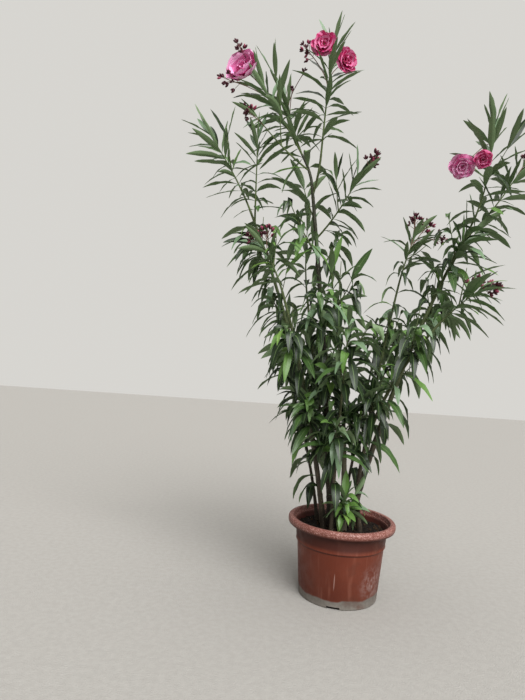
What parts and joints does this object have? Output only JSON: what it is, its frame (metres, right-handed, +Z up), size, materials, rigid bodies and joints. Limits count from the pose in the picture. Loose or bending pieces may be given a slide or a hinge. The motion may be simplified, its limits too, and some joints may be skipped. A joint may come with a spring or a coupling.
{
  "type": "potted oleander",
  "caption": "Tall potted oleander: a clump of long canes in a round plastic pot, with whorled lance leaves and double pink flowers.",
  "frame": {"origin": "centre of the pot's flat underside, on the surface it stands on", "axes": "+Z up, the longest extent; +X to the right as the picture shows the plant; +Y away from the viewer, the shortest extent"},
  "size_m": [1.4327, 0.729, 2.1629],
  "materials": {
    "pot": "weathered terracotta-coloured polypropylene",
    "soil": "dark crumbly potting soil",
    "bark": "smooth grey-brown to olive bark",
    "leaf": "leathery, half matt",
    "petal": "soft matt petals"
  },
  "bodies": {
    "root": {"pot": "pot", "soil": "soil", "stem_main": "bark", "bough_main_left": "bark", "bough_main_right": "bark", "stem_left": "bark", "stem_left_inner": "bark", "stem_left_back": "bark", "stem_back": "bark", "stem_thin": "bark", "stem_right": "bark", "stem_right_front": "bark", "stem_right_back": "bark", "stem_front": "bark", "stem_back_right": "bark", "leaves_top": "leaf", "leaves_top_left": "leaf", "leaves_top_inner": "leaf", "leaves_top_stalk": "leaf", "leaves_main_side": "leaf", "leaves_main_back": "leaf", "leaves_main_upper_left": "leaf", "leaves_main_upper_right": "leaf", "leaves_main_middle_right": "leaf", "leaves_main_middle_front": "leaf", "leaves_main_low_front": "leaf", "leaves_main_low_back": "leaf", "leaves_main_foot": "leaf", "leaves_left_outer": "leaf", "leaves_left_inner": "leaf", "leaves_left_upper": "leaf", "leaves_left_middle": "leaf", "leaves_left_back": "leaf", "leaves_left_low": "leaf", "leaves_left_foot": "leaf", "leaves_inner_tip": "leaf", "leaves_inner_middle": "leaf", "leaves_inner_low": "leaf", "leaves_inner_foot": "leaf", "leaves_left_back_tip": "leaf", "leaves_back_low": "leaf", "leaves_back_tip": "leaf", "leaves_back_middle": "leaf", "leaves_thin_tip": "leaf", "leaves_thin_low": "leaf", "leaves_right_tip": "leaf", "leaves_right_fork": "leaf", "leaves_right_upper": "leaf", "leaves_right_middle": "leaf", "leaves_right_low": "leaf", "leaves_right_front_tip": "leaf", "leaves_right_front_middle": "leaf", "leaves_right_front_low": "leaf", "leaves_right_back_tip": "leaf", "leaves_right_back_middle": "leaf", "leaves_right_back_low": "leaf", "leaves_front_low": "leaf", "leaves_front_tip": "leaf", "leaves_back_right_tip": "leaf", "leaves_sprout": "leaf"}
  },
  "joints": []
}
